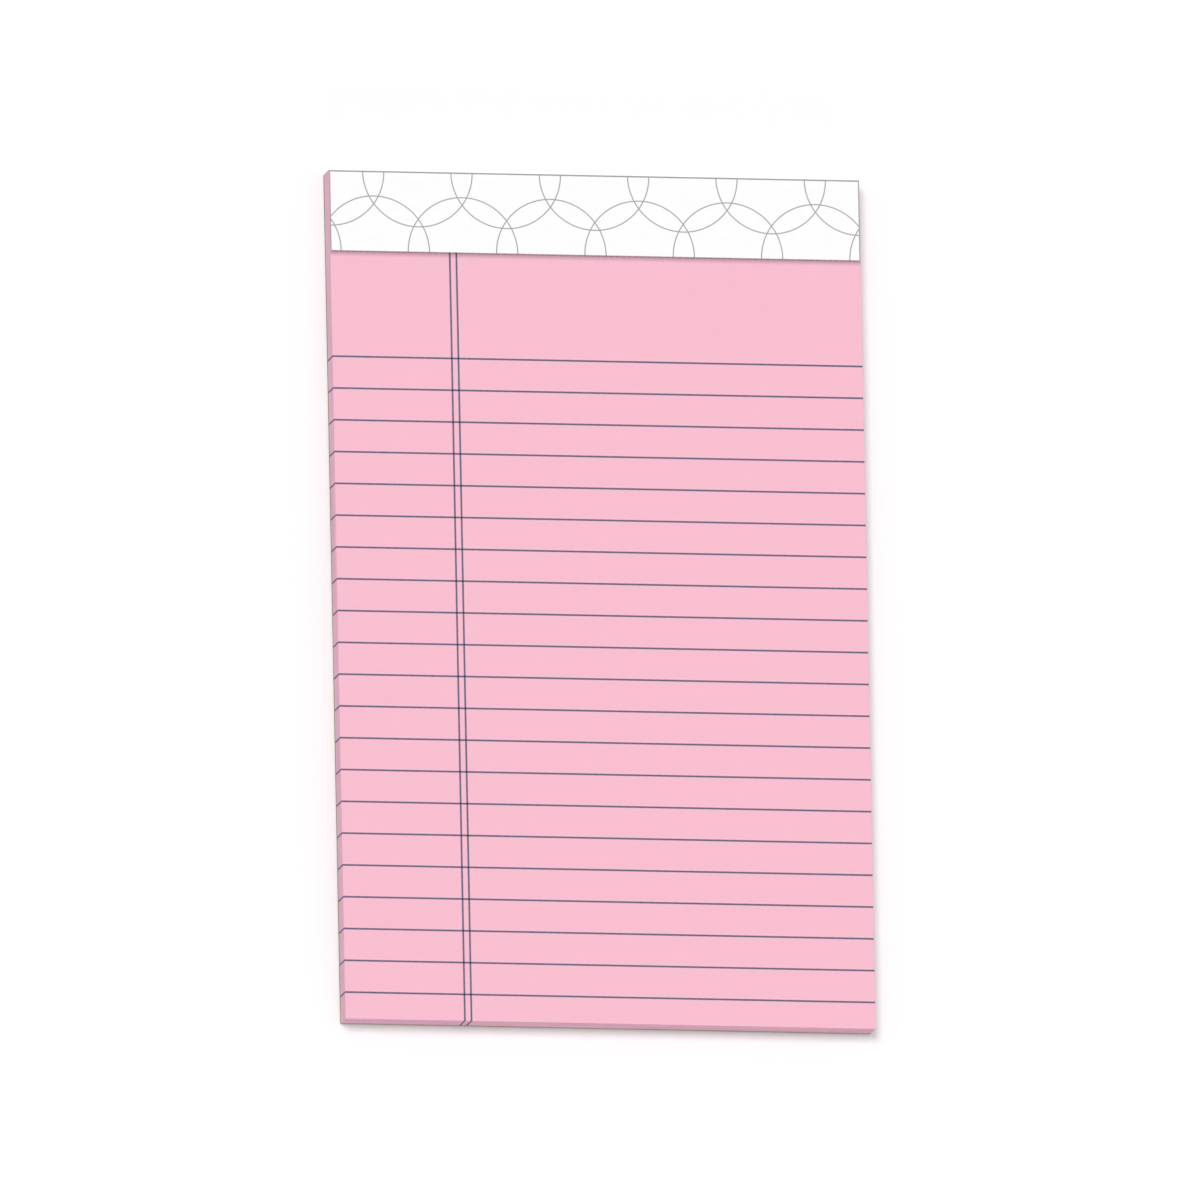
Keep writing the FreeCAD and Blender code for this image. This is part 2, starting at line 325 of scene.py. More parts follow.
def stack_rings():
    """The side of the stack: x and y are the outline's, kept inside it by the setback.

    z is the profile's level as a share of the stack's height at that place.
    """
    x = np.clip(path[:, 0], back - HALF_WIDTH, HALF_WIDTH - back)
    z = LEAVES_BOTTOM + level[:, None] * (top_height(*path.T) - LEAVES_BOTTOM)
    y = np.clip(path[:, 1], FOOT + back, HEAD - back - fold_setback(z))
    return np.stack([x, y, z], axis=-1)


rings = stack_rings()
print("Rings:", rings.shape, "highest", round(rings[..., 2].max() / MM, 3), "mm")

# %% [markdown]
# ### The first leaf and its slits
#
# The first leaf is a grid too, but it needs far more columns along the row of tear-off slits than
# anywhere else. A grid can't change its columns half-way without leaving cracks. So the slits get a
# narrow band of their own, and the wide cells beside it are fans of triangles that take in every
# point of the band's edge.

# %% The band of slits
def slit_band():
    """Three rows of points along the slits: a slit is a V that is SLIT_DEPTH deep in the middle."""
    end = 0.5 * SLIT_LENGTH
    tip = end - 0.5 * SLIT_WIDTH
    cut = (slit_middles[:, None] + np.array([-end, -tip, tip, end])).ravel()
    deep = np.tile([0, 1, 1, 0], slit_count)
    x = np.concatenate([columns, cut])
    sunk = np.concatenate([np.zeros(len(columns)), deep])
    order = np.argsort(x)
    x, sunk = x[order], sunk[order]
    y = np.repeat(slit_rows[:, None], len(x), axis=1)
    depth = np.outer([0, SLIT_DEPTH, 0], sunk)
    x = np.broadcast_to(x, y.shape)
    return np.stack([x, y, top_height(x, y) - depth], axis=-1)


band_points = slit_band()
print("Band:", band_points.shape[1], "points in each of its", len(band_points), "rows")

# %% The side's faces
ring_count, path_count = rings.shape[:2]
ring_numbers = np.arange(ring_count * path_count).reshape(ring_count, path_count)
side_faces = grid_faces(np.hstack([ring_numbers, ring_numbers[:, :1]]))
underside = ring_numbers[0, ::-1].tolist()
print("Side:", len(side_faces), "quads; underside: one face with", len(underside), "corners")

# %% Number the first leaf's points
def border_numbers(row_count, column_count):
    """A grid whose border holds the outline's point numbers, and whose inside holds -1."""
    numbers = np.full((row_count, column_count), -1)
    last_row, last_column = row_count - 1, column_count - 1
    numbers[0] = np.arange(column_count)
    numbers[:, -1] = last_column + np.arange(row_count)
    numbers[-1] = 2 * last_column + last_row - np.arange(column_count)
    numbers[1:, 0] = 2 * (last_column + last_row) - np.arange(1, row_count)
    return numbers


leaf_grid = border_numbers(len(rows), len(columns))
border = leaf_grid >= 0
# The leaf's border is the side's highest ring, so it takes that ring's numbers.
leaf_grid[border] += ring_numbers[-1, 0]
below_band, above_band = len(open_rows), len(open_rows) + len(slit_rows)
# The rows along the slits stay empty here, because the band brings its own points.
inside = ~border
inside[below_band:above_band] = False
leaf_grid[inside] = ring_numbers.size + np.arange(inside.sum())
x, y = [coordinate[inside] for coordinate in np.meshgrid(columns, rows)]
inside_points = np.stack([x, y, top_height(x, y)], axis=-1)
print("First leaf:", border.sum(), "points shared with the side,", inside.sum(), "new ones")

# %% Number the band's points
band_grid = np.full(band_points.shape[:2], -1)
# The band's two ends lie on the side's highest ring too.
band_grid[:, [0, -1]] = leaf_grid[below_band:above_band, [0, -1]]
new = band_grid < 0
band_grid[new] = ring_numbers.size + inside.sum() + np.arange(new.sum())
stack_points = np.concatenate([rings.reshape(-1, 3), inside_points, band_points[new]])
print("Whole skin:", len(stack_points), "points")

# %% Fans beside the band
below, above = leaf_grid[:below_band], leaf_grid[above_band:]


def slit_fans(band_x, near, low, high, far):
    """Triangles between the band's two edges and the wide rows on either side of it.

    In each cell a fan goes from the wide row's left corner to every point of the band's edge, and
    one more triangle closes the cell at its right.
    """
    cell = np.searchsorted(columns, band_x[:-1], side="right") - 1
    ends = np.searchsorted(band_x, columns[1:])
    return np.concatenate([
        np.stack([near[cell], low[1:], low[:-1]], axis=1),
        np.stack([near[:-1], near[1:], low[ends]], axis=1),
        np.stack([high[:-1], high[1:], far[cell]], axis=1),
        np.stack([high[ends], far[1:], far[:-1]], axis=1),
    ])


fan_faces = slit_fans(band_points[0, :, 0], below[-1], band_grid[0], band_grid[-1], above[0])
print("Fans:", len(fan_faces), "triangles over", 2 * (len(columns) - 1), "cells")

# %% Join the skin
top_faces = np.concatenate([grid_faces(below), grid_faces(band_grid), grid_faces(above)])
leaf_stack_piece = mesh_object(
    "leaf_stack",
    stack_points,
    side_faces.tolist() + top_faces.tolist() + fan_faces.tolist() + [underside],
)
print("The leaves enclose", round(enclosed_volume(leaf_stack_piece), 1), "mm3")

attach(leaf_stack_piece, "root")
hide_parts("page_block")

# %% [markdown]
# ### A flat map, and a tone for each leaf
#
# The pad's colours can be baked into an image, so the skin also gets a flat map. The first leaf
# takes most of it, because its print is what people look at. Beside it the four sides lie as
# strips that are stretched in height, and the underside, which never shows, is small and lies
# above the strip of the foot edge. No two of them may overlap, or one's colours spoil the other's.
#
# Each leaf's edge also gets a tone of its own, kept as an attribute on the faces, because paper
# reflects a little more or less light where the blade left it rougher.

# %% Where each side lies on the map
MAP_MARGIN = 0.005
MAP_SCALE = (1 - 2 * MAP_MARGIN) / (HEAD - FOOT)
STRIPS_START = 3 * MAP_MARGIN + 2 * HALF_WIDTH * MAP_SCALE
STRIP_WIDTH = 0.082
STRIP_STEP = 0.09
UNDERSIDE_START = 0.7
UNDERSIDE_SCALE = STRIP_WIDTH / (2 * HALF_WIDTH)


def page_map(points):
    """A straight look down at the page, at MAP_SCALE."""
    return (points[..., :2] - [-HALF_WIDTH, FOOT]) * MAP_SCALE + MAP_MARGIN


def side_map():
    """For each side quad's corners: across by level, along by the way from its side's start."""
    edge_steps = [len(columns) - 1, len(rows) - 1, len(columns) - 1, len(rows) - 1]
    starts = np.concatenate([[0], np.cumsum(edge_steps)])
    side = np.searchsorted(starts, np.arange(path_count), side="right") - 1
    begin = along[:-1] - along[starts[side]]
    finish = along[1:] - along[starts[side]]
    strip = STRIPS_START + side * STRIP_STEP
    low = strip + level[:-1, None] * STRIP_WIDTH
    high = strip + level[1:, None] * STRIP_WIDTH
    across = np.stack([low, low, high, high], axis=-1)
    down = np.stack([begin, finish, finish, begin], axis=-1) * MAP_SCALE + MAP_MARGIN
    return np.stack([across, np.broadcast_to(down, across.shape)], axis=-1).reshape(-1, 2)


def underside_map(points):
    """The underside, as wide as a strip, above the strip of the foot edge."""
    place = (points[..., :2] - [-HALF_WIDTH, FOOT]) * UNDERSIDE_SCALE
    return place + [STRIPS_START, UNDERSIDE_START]


strips_end = STRIPS_START + 3 * STRIP_STEP + STRIP_WIDTH
print("The strips lie from", round(STRIPS_START, 3), "to", round(strips_end, 3), "on the map")

# %% Lay the map
mesh = leaf_stack_piece.data
corners = corner_points(mesh)
# The skin's faces come in order: the side, the first leaf with its fans, and last the underside.
flat_map = page_map(stack_points[corners])
flat_map[: side_faces.size] = side_map()
flat_map[-len(underside) :] = underside_map(stack_points[corners[-len(underside) :]])
add_map(mesh, "OFBake", flat_map)
print("Map from", flat_map.min(axis=0).round(3), "to", flat_map.max(axis=0).round(3))

# %% A tone for each leaf's edge
TONE_SEED = 7

leaf_tones = np.random.default_rng(TONE_SEED).normal(0, 1, LEAF_COUNT)
tone = np.zeros(len(mesh.polygons))
tone[: len(side_faces)] = np.repeat(leaf_tones[leaf_number[:-1]], path_count)
add_face_value(mesh, "leaf_tone", tone)
cut_edge = np.zeros(len(mesh.polygons))
cut_edge[: len(side_faces)] = 1
add_face_value(mesh, "cut_edge", cut_edge)
print("Tones of the lowest three leaves:", leaf_tones[:3].round(2))

# %% [markdown]
# ## The binding tape
#
# The tape is one paper strip, folded twice over the head. Its section is a U with two quarter
# bends, and the strip is that section drawn out across the pad. A Solidify modifier on a bent
# sheet would do, but the section is easier to steer as a function of the way along the paper, as
# if the strip were still flat. That way is also the map's direction, so the print runs round the
# folds as it does on real tape.
#
# The wire crowns below press a faint ridge into the front flap. The flap lies a few hundredths
# lower than the solid's face, and only the ridges reach that face.

# %% The tape's section
BEND = FOLD_RADIUS + TAPE_THICK / 2

middle_low = BOARD_BOTTOM - TAPE_THICK / 2
middle_high = LEAVES_TOP + TAPE_THICK / 2
middle_head = HEAD + TAPE_THICK / 2
flat_run = middle_head - BEND - TAPE_EDGE
bend_run = BEND * np.pi / 2
head_run = middle_high - middle_low - 2 * BEND
stretch_ends = np.cumsum([flat_run, bend_run, head_run, bend_run, flat_run])
tape_run = stretch_ends[-1]
print(f"The strip is {tape_run / MM:.2f} mm wide before it is folded")


def tape_middle(way):
    """The section's middle line and its outward direction, at a way along the flat strip.

    Back flap, quarter circle, head face, quarter circle, front flap: in each stretch the way is
    turned into an angle or a distance.
    """
    back = np.clip(way, 0, flat_run)
    turn_low = np.clip(way - stretch_ends[0], 0, bend_run) / BEND
    rise = np.clip(way - stretch_ends[1], 0, head_run)
    turn_high = np.clip(way - stretch_ends[2], 0, bend_run) / BEND
    forth = np.clip(way - stretch_ends[3], 0, flat_run)
    y = TAPE_EDGE + back + BEND * np.sin(turn_low) - BEND * (1 - np.cos(turn_high)) - forth
    z = middle_low + BEND * (1 - np.cos(turn_low)) + rise + BEND * np.sin(turn_high)
    angle = turn_low + turn_high
    return np.stack([y, z], axis=-1), np.stack([np.sin(angle), -np.cos(angle)], axis=-1)


# %% Ridges over the wire crowns
RIDGE = 0.035 * MM
STITCH_PITCH = 44.0 * MM
STITCH_INSET = 9.5 * MM
CROWN_WIDTH = 12.7 * MM
WIRE_WIDTH = 0.65 * MM
RIDGE_REACH = 0.75 * WIRE_WIDTH


def crown_ridge(x, y):
    """How much the flap rises: a bell across each crown, as long as the crown, with soft ends.

    The bell is exp(-(d / RIDGE_REACH)^2), where d is the distance from the crown's middle line.
    """
    nearest = np.clip(np.round(x / STITCH_PITCH), -1, 1) * STITCH_PITCH
    within = ease((CROWN_WIDTH / 2 + WIRE_WIDTH - np.abs(x - nearest)) / (2 * WIRE_WIDTH))
    beside = np.exp(-(((y - (HEAD - STITCH_INSET)) / RIDGE_REACH) ** 2))
    return RIDGE * within * beside


crown_middle = crown_ridge(np.array(0), np.array(HEAD - STITCH_INSET))
print("The flap rises by", round(float(crown_middle) / MM, 3), "mm over the middle crown")

# %% Where the strip needs points
STITCH_REACH = 1.5 * MM
ACROSS_POINTS = 160
# Back flap, bend, head face, bend, then the front flap up to, along and past the stitches.
POINTS_IN_STRETCH = [12, 10, 8, 10, 14, 24, 15]

stitch_way = tape_run - (HEAD - STITCH_INSET - TAPE_EDGE)
breaks = [0, *stretch_ends[:4], stitch_way - STITCH_REACH, stitch_way + STITCH_REACH, tape_run]
way = np.concatenate([
    np.linspace(start, end, count, endpoint=False)
    for start, end, count in zip(breaks, breaks[1:], POINTS_IN_STRETCH)
] + [[tape_run]])
print("The section has", len(way), "points on each side")

# %% The strip's surface
def tape_surface():
    """The closed strip: a loop round the section, outside one way and inside back, times x.

    On the front flap the outside is lowered by RIDGE, less what a crown raises it.
    """
    middle, outward = tape_middle(way)
    x = np.linspace(-HALF_WIDTH, HALF_WIDTH, ACROSS_POINTS)
    outside = middle + outward * TAPE_THICK / 2
    inside = middle - outward * TAPE_THICK / 2
    loop = np.concatenate([outside, inside[::-1]])
    points = np.empty((len(loop), len(x), 3))
    points[..., 0] = x
    points[..., 1:] = loop[:, None]
    front = np.flatnonzero(way >= stretch_ends[3])
    lift = crown_ridge(points[front, :, 0], points[front, :, 1])
    points[front, :, 2] += lift - RIDGE
    return points


tape_points = tape_surface()
print("Strip:", tape_points.shape, "highest", round(tape_points[..., 2].max() / MM, 3), "mm")

# %% Join the strip
strip_grid = np.arange(len(tape_points) * ACROSS_POINTS).reshape(-1, ACROSS_POINTS)
outside_rows, inside_rows = strip_grid[: len(way)], strip_grid[len(way) :][::-1]
walls = grid_faces(np.vstack([strip_grid, strip_grid[:1]]))[:, ::-1]
left_end = grid_faces(np.stack([outside_rows[:, 0], inside_rows[:, 0]]))[:, ::-1]
right_end = grid_faces(np.stack([outside_rows[:, -1], inside_rows[:, -1]]))
strip_faces = np.concatenate([walls, left_end, right_end])
tape_piece = mesh_object("printed_tape", tape_points.reshape(-1, 3), strip_faces.tolist())
print("The tape encloses", round(enclosed_volume(tape_piece), 1), "mm3")

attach(tape_piece, "root")
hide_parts("binding_tape")

# %% The strip laid flat, as a map
loop_way = np.concatenate([way, way[::-1]])
strip_map = np.stack(np.broadcast_arrays(tape_points[..., 0], loop_way[:, None]), axis=-1)
add_map(tape_piece.data, "flat_strip", strip_map.reshape(-1, 2)[corner_points(tape_piece.data)])
flat_width, flat_length = np.ptp(strip_map, axis=(0, 1)) / MM
print(f"Laid flat it is {flat_width:.1f} by {flat_length:.2f} mm")

# %% [markdown]
# ## Materials
#
# Every material is worked out by nodes from the place on the object, in millimetres, so nothing is
# stretched and no image is needed. Placing nodes one by one takes a line for each socket. A small
# wrapper keeps that short: each call adds a node, links its inputs and gives back its output.

# %% A short way to add nodes
class Nodes:
    """Adds nodes to the tree of a material or a world. Its shader is the one named."""

    def __init__(self, owner, shader="Principled BSDF"):
        owner.use_nodes = True
        self.tree = owner.node_tree
        self.shader = self.tree.nodes[shader]

    def add(self, kind, inputs=(), **settings):
        """A new node. Inputs give a socket's name or number and what goes into it."""
        node = self.tree.nodes.new(kind)
        for name, value in settings.items():
            setattr(node, name, value)
        for place, value in dict(inputs).items():
            self.feed(node.inputs[place], value)
        return node

    def feed(self, socket, value):
        """Links another node's output to the socket, or sets the socket itself."""
        if isinstance(value, bpy.types.NodeSocket):
            self.tree.links.new(value, socket)
        else:
            socket.default_value = value

    def shade(self, inputs):
        """Feeds the shader, by its sockets' names."""
        for name, value in inputs.items():
            self.feed(self.shader.inputs[name], value)

    def math(self, operation, *values):
        """One step of arithmetic, on numbers or on other nodes' outputs."""
        return self.add("ShaderNodeMath", enumerate(values), operation=operation).outputs[0]

    def ramp(self, value, start, end, low=0.0, high=1.0):
        """Goes smoothly from low at start to high at end, and is flat outside."""
        inputs = enumerate([value, start, end, low, high])
        node = self.add("ShaderNodeMapRange", inputs, interpolation_type="SMOOTHSTEP")
        return node.outputs[0]

    def mix(self, share, first, second, blend="MIX"):
        """Two colours by share. The sockets' numbers are those of the colour version."""
        inputs = {0: share, 6: first, 7: second}
        node = self.add("ShaderNodeMix", inputs, data_type="RGBA", blend_type=blend)
        return node.outputs[2]

    def tint(self, colour, by, share=1.0):
        """A colour multiplied by another, or by a grey."""
        return self.mix(share, colour, by, "MULTIPLY")


print("Short ways:", *[name for name in vars(Nodes) if not name.startswith("_")])

# %% Places on the object
def place_mm(nodes, stretch=(1, 1, 1)):
    """The place on the object in millimetres, squeezed along each axis by stretch."""
    coordinates = nodes.add("ShaderNodeTexCoord").outputs["Object"]
    inputs = {"Vector": coordinates, "Scale": Vector(stretch) / MM}
    return nodes.add("ShaderNodeMapping", inputs).outputs[0]


def split(nodes, vector):
    """The three coordinates of a vector."""
    return nodes.add("ShaderNodeSeparateXYZ", {0: vector}).outputs


def kept_value(nodes, name):
    """A number that the mesh keeps for each face."""
    return nodes.add("ShaderNodeAttribute", attribute_name=name).outputs["Fac"]


# %% Patterns and relief
def noise(nodes, place, scale, detail=2.0, roughness=0.5):
    """A cloudy pattern, about 0.3 to 0.7. Scale is how many clouds there are in a millimetre."""
    inputs = {"Vector": place, "Scale": scale, "Detail": detail, "Roughness": roughness}
    return nodes.add("ShaderNodeTexNoise", inputs).outputs[0]


def spread(nodes, pattern, low, high, reach=0.2):
    """A cloudy pattern brought to low at 0.5 - reach and to high at 0.5 + reach."""
    return nodes.ramp(pattern, 0.5 - reach, 0.5 + reach, low, high)


def bump(nodes, height, depth, strength):
    """Relief that shades like a surface with this height. Depth is in metres."""
    inputs = {"Height": height, "Distance": depth, "Strength": strength}
    return nodes.add("ShaderNodeBump", inputs).outputs[0]


# %% Colours as shaders use them
def linear(red, green, blue):
    """A colour written as 0 to 255 on a screen, as the linear numbers that shaders use."""
    share = np.array([red, green, blue]) / 255
    low, high = share / 12.92, ((share + 0.055) / 1.055) ** 2.4
    return (*np.where(share <= 0.04045, low, high).tolist(), 1.0)


print("Middle grey on a screen is", round(linear(128, 128, 128)[0], 3), "in linear numbers")

# %% [markdown]
# ### Ruled pink paper
#
# The sheet is dyed pulp: flat in colour from afar, with cloudy thick and thin places close up and
# a fine tooth that catches light. The rules and the double margin line are printed before the
# stack is cut, so they run off every edge and show as dots in the leaves' edges.
#
# A picture of a ruled sheet would do for the face, but it blurs close up and says nothing about
# the edges. Here the ink depends only on x and y, so the sides get their dots from the same nodes
# as the face. Ink is laid over paper by multiplying, which makes a crossing darker, as in print.

# %% Where the leaves are printed
RULE_PITCH = 7.62 * MM
FIRST_RULE = TAPE_EDGE - 25.45 * MM
MARGIN_LINES = [28.58 * MM - HALF_WIDTH, 30.16 * MM - HALF_WIDTH]

rule_count = int((FIRST_RULE - FOOT) // RULE_PITCH) + 1
foot_gap = (FIRST_RULE - FOOT) % RULE_PITCH
print(f"{rule_count} rules, the last one {foot_gap / MM:.2f} mm above the foot")

# %% The print on the leaves
INK_HALF_WIDTH = 0.215
INK_SOFT_EDGE = 0.07
INK_RAGGED = 0.12


def ink_line(nodes, distance, tooth):
    """1 on a line and 0 off it, from the distance to its middle in millimetres.

    The edge is soft by INK_SOFT_EDGE each way. The paper's tooth, 0 to 1, shifts it by up to half
    of INK_RAGGED, because ink creeps along the fibres.
    """
    ragged = nodes.math("MULTIPLY_ADD", tooth, INK_RAGGED, -INK_RAGGED / 2)
    outer, inner = INK_HALF_WIDTH + INK_SOFT_EDGE, INK_HALF_WIDTH - INK_SOFT_EDGE
    return nodes.ramp(nodes.math("ADD", distance, ragged), outer, inner)


def rules(nodes, y, tooth):
    """1 on every rule. Folding y back and forth at half the pitch gives the distance to a rule.

    Nothing is printed from half a pitch above the first rule, so the page's head stays clear.
    """
    half_pitch = RULE_PITCH / MM / 2
    above_first = nodes.math("SUBTRACT", y, FIRST_RULE / MM)
    to_rule = nodes.math("PINGPONG", above_first, half_pitch)
    is_below = nodes.math("LESS_THAN", above_first, half_pitch)
    return nodes.math("MULTIPLY", ink_line(nodes, to_rule, tooth), is_below)


def margin_lines(nodes, x, tooth):
    """1 on both margin lines, from the distance along x to each of them."""
    lines = []
    for line in MARGIN_LINES:
        to_line = nodes.math("ABSOLUTE", nodes.math("SUBTRACT", x, line / MM))
        lines.append(ink_line(nodes, to_line, tooth))
    return nodes.math("MAXIMUM", *lines)


print("Printed lines are", 2 * INK_HALF_WIDTH, "mm wide, and soft for", 2 * INK_SOFT_EDGE, "mm")

# %% The sheet and its trimmed edges
PAPER_PINK = linear(249, 191, 209)
# The trimmed edges' tint: partly their own duller tone, partly painted shade of the gaps between the
# leaves.
EDGE_DULL_AND_GAP_SHADE = (0.87, 0.93, 0.965, 1.0)
LEAF_TONE_SHARE = 0.025
CLOUDS_PER_MM = 0.22
STREAKS_PER_MM = 1.6
STREAK_STRETCH = (0.02, 0.02, 1.0)


def sheet_shade(nodes, place, fibre):
    """How light the paper is: slow clouds, fine fibres, and on the edges each leaf's own tone."""
    clouds = spread(nodes, noise(nodes, place, CLOUDS_PER_MM, detail=3), low=0.988, high=1.0)
    fibres = spread(nodes, fibre, low=0.965, high=1.005, reach=0.25)
    shade = nodes.math("MULTIPLY", clouds, fibres)
    return nodes.math("MULTIPLY_ADD", kept_value(nodes, "leaf_tone"), LEAF_TONE_SHARE, shade)


def edge_colour(nodes, sheet):
    """The trimmed edges: the sheet's colour, duller and with painted shade of the gaps between leaves,
    and streaks that run along the leaves.
    """
    along_leaves = place_mm(nodes, STREAK_STRETCH)
    streaks = noise(nodes, along_leaves, STREAKS_PER_MM, detail=4, roughness=0.7)
    return nodes.tint(nodes.tint(sheet, EDGE_DULL_AND_GAP_SHADE), spread(nodes, streaks, low=0.86, high=1.06))


print("Pink paper in linear numbers:", *np.round(PAPER_PINK[:3], 3))

# %% The ruled paper material
INK_TINT = (0.09, 0.2, 0.28, 1.0)
PAINTED_SHADOW_TINT = (0.48, 0.52, 0.53, 1.0)
PAINTED_SHADOW_REACH = 1.7
TOOTH_PER_MM = 9.0
FIBRES_PER_MM = 2.6
FIBRE_STRETCH = (1.0, 1.0, 4.0)
FIBRE_HEIGHT = 1.5
PAPER_RELIEF = 0.006 * MM


def ruled_paper():
    """Paper, then its cut edges, then ink, then a painted shadow below the tape's edge where the
    leaves go under.
    """
    material = bpy.data.materials.new("pink_ruled_paper")
    nodes = Nodes(material)
    place = place_mm(nodes)
    x, y, _ = split(nodes, place)
    along_fibres = place_mm(nodes, FIBRE_STRETCH)
    fibre = noise(nodes, along_fibres, FIBRES_PER_MM, detail=4, roughness=0.65)
    tooth = noise(nodes, place, TOOTH_PER_MM)
    on_edge = kept_value(nodes, "cut_edge")

    sheet = nodes.tint(PAPER_PINK, sheet_shade(nodes, place, fibre))
    colour = nodes.mix(on_edge, sheet, edge_colour(nodes, sheet))
    density = spread(nodes, fibre, low=0.86, high=1.0)
    for ink in (rules(nodes, y, tooth), margin_lines(nodes, x, tooth)):
        colour = nodes.tint(colour, INK_TINT, nodes.math("MULTIPLY", ink, density))
    # Painted shadow: the page darkens over its last 1.7 mm below the tape's edge, as if the tape
    # shaded it.
    painted_tape_shadow = nodes.ramp(y, TAPE_EDGE / MM - PAINTED_SHADOW_REACH, TAPE_EDGE / MM)
    on_face = nodes.math("SUBTRACT", 1.0, on_edge)
    colour = nodes.tint(colour, PAINTED_SHADOW_TINT, nodes.math("MULTIPLY", painted_tape_shadow, on_face))

    height = nodes.math("MULTIPLY_ADD", fibre, FIBRE_HEIGHT, tooth)
    relief = bump(nodes, height, PAPER_RELIEF, strength=0.8)
    nodes.shade({"Base Color": colour, "Roughness": 0.88, "Specular IOR Level": 0.25})
    nodes.shade({"Normal": relief})
    return material


leaf_stack_piece.data.materials.append(ruled_paper())
print("The leaves wear", leaf_stack_piece.data.materials[0].name)

# %% [markdown]
# ### Printed tape
#
# The tape is smoother paper than the leaves, coated so that glue and print take evenly, and it has
# a soft gloss. Its print is a plain lattice of thin grey arcs: circles stand on the flap's edge and
# on its fold in turn. A fine line runs along the fold and down both ends.
#
# Such lines could be curves laid on the flap, but print has no thickness. The distance to the
# nearest circles is enough to draw them in the material, and folding the map back and forth with
# Ping-Pong gives the nearest centres without a loop.

# %% Circles and border lines
ARCS_ACROSS = 6
ARC_PITCH = 2 * HALF_WIDTH / MM / ARCS_ACROSS
ARC_RADIUS = 0.62 * ARC_PITCH
ARC_HALF_WIDTH = 0.14
BORDER_WIDTH = 0.3
PRINT_SOFT_EDGE = 0.06


def arc_line(nodes, across, up):
    """1 on the circles of ARC_RADIUS, from the distances to their centres across and up."""
    square = nodes.math("MULTIPLY_ADD", across, across, nodes.math("MULTIPLY", up, up))
    off = nodes.math("ABSOLUTE", nodes.math("SUBTRACT", nodes.math("SQRT", square), ARC_RADIUS))
    outer, inner = ARC_HALF_WIDTH + PRINT_SOFT_EDGE, ARC_HALF_WIDTH - PRINT_SOFT_EDGE
    return nodes.ramp(off, outer, inner)


def border_line(nodes, inwards):
    """1 within BORDER_WIDTH of an edge and 0 further in, from the distance inwards."""
    return nodes.ramp(inwards, BORDER_WIDTH, BORDER_WIDTH - PRINT_SOFT_EDGE)


print(f"Arcs of {ARC_RADIUS:.2f} mm stand {ARC_PITCH:.2f} mm apart")

# %% The tape's print
FLAP = (HEAD - TAPE_EDGE) / MM


def tape_print(nodes, u, v):
    """1 on every printed line. u runs across the pad and v along the strip, in millimetres.

    Centres stand a pitch apart along each flap's edge, and half a pitch further along its fold.
    """
    from_edge = nodes.math("PINGPONG", nodes.math("SUBTRACT", tape_run / MM, v), FLAP)
    from_fold = nodes.math("SUBTRACT", FLAP, from_edge)
    even = nodes.math("PINGPONG", nodes.math("ADD", u, ARC_PITCH / 2), ARC_PITCH / 2)
    odd = nodes.math("SUBTRACT", ARC_PITCH / 2, even)
    from_end = nodes.math("SUBTRACT", HALF_WIDTH / MM, nodes.math("ABSOLUTE", u))
    lines = nodes.math("MAXIMUM", border_line(nodes, from_fold), border_line(nodes, from_end))
    for across, up in ((even, from_edge), (odd, from_fold)):
        for centre in (across, nodes.math("SUBTRACT", ARC_PITCH, across)):
            lines = nodes.math("MAXIMUM", lines, arc_line(nodes, centre, up))
    return lines


print(f"The print repeats every {2 * FLAP:.1f} mm of the strip, which is {tape_run / MM:.1f} mm wide")

# %% The printed tape material
TAPE_WHITE = linear(252, 252, 252)
PRINT_GREY = linear(146, 145, 146)
PRINT_SHARE = 0.92
TAPE_TOOTH_PER_MM = 5.0
TAPE_CLOUDS_PER_MM = 0.3
TAPE_RELIEF = 0.008 * MM


def printed_tape():
    """White coated paper with clouds and tooth that barely show, and the grey print on it."""
    material = bpy.data.materials.new("printed_tape")
    nodes = Nodes(material)
    flat = nodes.add("ShaderNodeUVMap", uv_map="flat_strip").outputs[0]
    in_mm = nodes.add("ShaderNodeVectorMath", {0: flat, "Scale": 1 / MM}, operation="SCALE")
    u, v, _ = split(nodes, in_mm.outputs[0])
    place = place_mm(nodes)
    tooth = noise(nodes, place, TAPE_TOOTH_PER_MM, detail=3, roughness=0.6)
    clouds = spread(nodes, noise(nodes, place, TAPE_CLOUDS_PER_MM), low=0.985, high=1.0)
    pits = spread(nodes, tooth, low=0.985, high=1.0, reach=0.3)

    colour = nodes.tint(nodes.tint(TAPE_WHITE, clouds), pits)
    ink = nodes.math("MULTIPLY", tape_print(nodes, u, v), PRINT_SHARE)
    colour = nodes.mix(ink, colour, PRINT_GREY)
    relief = bump(nodes, tooth, TAPE_RELIEF, strength=0.5)
    nodes.shade({"Base Color": colour, "Roughness": 0.55, "Specular IOR Level": 0.4})
    nodes.shade({"Normal": relief})
    return material


tape_piece.data.materials.append(printed_tape())
print("The tape wears", tape_piece.data.materials[0].name)

# %% [markdown]
# ### Chipboard and wire
#
# The back is grey-brown board pressed from recycled paper, full of darker and paler flecks, with
# layers that show at the cut edge. The wire is drawn steel, with fine lines along it. Both keep
# their solids, so they only need a material each, put into the slots that the solid has.

# %% The board's colours
BOARD_DARK = linear(156, 128, 99)
BOARD_PALE = linear(174, 148, 118)
FIBRE_COLOUR = linear(190, 168, 140)
FLECK_COLOUR = linear(108, 84, 62)
BOARD_CLOUDS_PER_MM = 0.35
FLECKS_PER_MM = 1.1
FLECK_STRETCH = (1.0, 1.0, 3.0)


